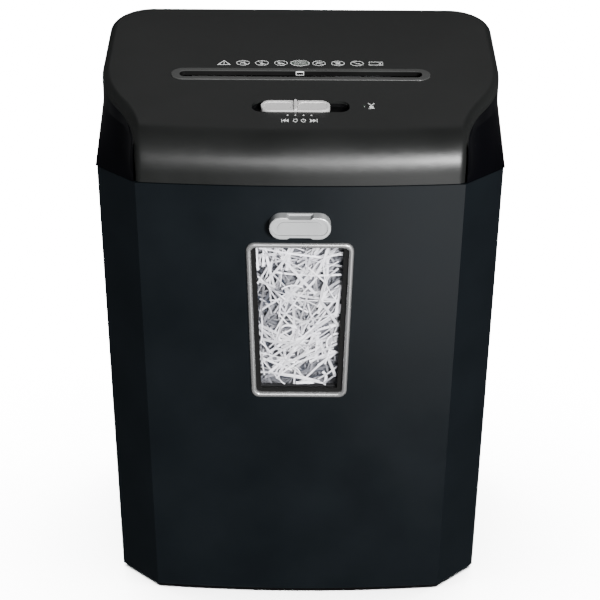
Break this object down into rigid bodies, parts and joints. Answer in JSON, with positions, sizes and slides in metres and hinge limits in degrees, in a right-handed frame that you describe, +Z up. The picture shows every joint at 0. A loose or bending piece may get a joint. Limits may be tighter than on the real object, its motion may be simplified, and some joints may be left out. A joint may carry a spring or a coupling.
{
  "type": "paper shredder",
  "caption": "Floor-standing strip-cut paper shredder with a sloping feed head, slider switch and a pull-out bin with a clear window.",
  "frame": {"origin": "on the floor, under the centre of the whole machine in plan, pull knob and cord grommet included", "axes": "+X to the user's right when facing the front, +Y to the back, +Z up; the bin pulls out along -Y"},
  "size_m": [0.38, 0.29, 0.5371],
  "materials": {
    "cover_charcoal": "satin, fine grain",
    "panel_gloss_black": "gloss",
    "cabinet_black": "satin",
    "bin_front_charcoal": "semi-gloss",
    "bucket_black": "moulded",
    "inner_black": "moulded",
    "bezel_grey": "satin",
    "silver_plastic": "metallic paint",
    "clear_window": "clear",
    "indicator_green": "tinted clear",
    "rubber_black": "matt",
    "paper_white": "cut strips",
    "cutter_steel": "ground and oiled",
    "spacer_steel": "turned",
    "gear_steel": "sintered, greased",
    "zinc_plate": "zinc plated",
    "bush_bronze": "sintered bronze",
    "stator_steel": "varnished laminations",
    "bell_aluminium": "die cast",
    "fan_black": "moulded",
    "capacitor_white": "smooth",
    "board_green": "lacquered",
    "component_dark": "moulded",
    "symbol_ink": "screen print",
    "symbol_badge": "screen print"
  },
  "bodies": {
    "cabinet_and_head": {"cabinet_base": "cabinet_black", "cabinet_left_side": "cabinet_black", "cabinet_right_side": "cabinet_black", "cabinet_rear_panel": "cabinet_black", "rubber_feet": "rubber_black", "case_screws": "zinc_plate", "head_chassis": "inner_black", "head_top_cover": "cover_charcoal", "head_left_side_panel": "panel_gloss_black", "head_right_side_panel": "panel_gloss_black", "head_rear_cover": "panel_gloss_black", "cord_grommet": "rubber_black", "slot_bezel": "bezel_grey", "front_throat_guide": "inner_black", "rear_throat_guide": "inner_black", "sensor_bracket": "inner_black", "selector_tray": "inner_black", "selector_switch_body": "inner_black", "status_led": "indicator_green", "left_end_plate": "zinc_plate", "right_end_plate": "zinc_plate", "shaft_bushes": "bush_bronze", "frame_tie_bars": "zinc_plate", "front_stripper_comb": "inner_black", "rear_stripper_comb": "inner_black", "gear_plate": "zinc_plate", "gear_plate_pillars": "zinc_plate", "idler_spindle": "spacer_steel", "motor_stator": "stator_steel", "motor_end_bells": "bell_aluminium", "motor_capacitor": "capacitor_white", "control_board": "board_green", "board_standoffs": "inner_black", "board_components": "component_dark", "interlock_switch_body": "inner_black"},
    "bin": {"bin_front_panel": "bin_front_charcoal", "bin_bucket": "bucket_black", "bin_glides": "bucket_black", "bin_panel_screws": "zinc_plate", "window_frame": "silver_plastic", "window_gasket": "rubber_black", "window_lens": "clear_window", "shredded_paper": "paper_white", "pull_knob": "silver_plastic", "knob_screws": "zinc_plate"},
    "selector": {"selector_knob": "silver_plastic"},
    "sensor_flap": {"sensor_flap": "inner_black"},
    "interlock_plunger": {"interlock_plunger": "inner_black"},
    "rear_cutter": {"rear_cutter_shaft": "cutter_steel", "rear_cutter_discs": "cutter_steel", "rear_spacers": "spacer_steel", "rear_sync_gear": "gear_steel", "final_drive_gear": "gear_steel"},
    "front_cutter": {"front_cutter_shaft": "cutter_steel", "front_cutter_discs": "cutter_steel", "front_spacers": "spacer_steel", "front_sync_gear": "gear_steel"},
    "idler": {"idler_gear": "gear_steel"},
    "motor_rotor": {"motor_rotor_shaft": "gear_steel", "motor_fan": "fan_black"}
  },
  "joints": [
    {"name": "bin_slide", "type": "slide", "parent": "cabinet_and_head", "child": "bin", "axis": [0, -1, 0], "range_m": [0, 0.25]},
    {"name": "selector_slide", "type": "slide", "parent": "cabinet_and_head", "child": "selector", "axis": [1, 0, 0], "range_m": [-0.0075, 0.015]},
    {"name": "sensor_flap_hinge", "type": "hinge", "parent": "cabinet_and_head", "child": "sensor_flap", "pos_m": [0, 0.0034, 0.5085], "axis": [1, 0, 0], "range_deg": [0, 20], "stiffness_Nm_per_rad": 0.002, "springref_deg": -8.59},
    {"name": "interlock_plunger_slide", "type": "slide", "parent": "cabinet_and_head", "child": "interlock_plunger", "axis": [0, 0, 1], "range_m": [0, 0.0015], "stiffness_N_per_m": 200, "springref_m": -0.002},
    {"name": "rear_cutter_spin", "type": "hinge", "parent": "cabinet_and_head", "child": "rear_cutter", "pos_m": [0, 0.011, 0.478], "axis": [1, 0, 0], "continuous": true},
    {"name": "front_cutter_spin", "type": "hinge", "parent": "cabinet_and_head", "child": "front_cutter", "pos_m": [0, -0.025, 0.478], "axis": [1, 0, 0], "continuous": true},
    {"name": "idler_spin", "type": "hinge", "parent": "cabinet_and_head", "child": "idler", "pos_m": [0, 0.05419, 0.4864], "axis": [1, 0, 0], "continuous": true},
    {"name": "motor_spin", "type": "hinge", "parent": "cabinet_and_head", "child": "motor_rotor", "pos_m": [0, 0.09186, 0.4763], "axis": [1, 0, 0], "continuous": true}
  ],
  "couplings": [
    {"joint": "front_cutter_spin", "follows": "rear_cutter_spin", "ratio": -1},
    {"joint": "idler_spin", "follows": "rear_cutter_spin", "ratio": -2.6667},
    {"joint": "motor_spin", "follows": "rear_cutter_spin", "ratio": 14.667}
  ]
}
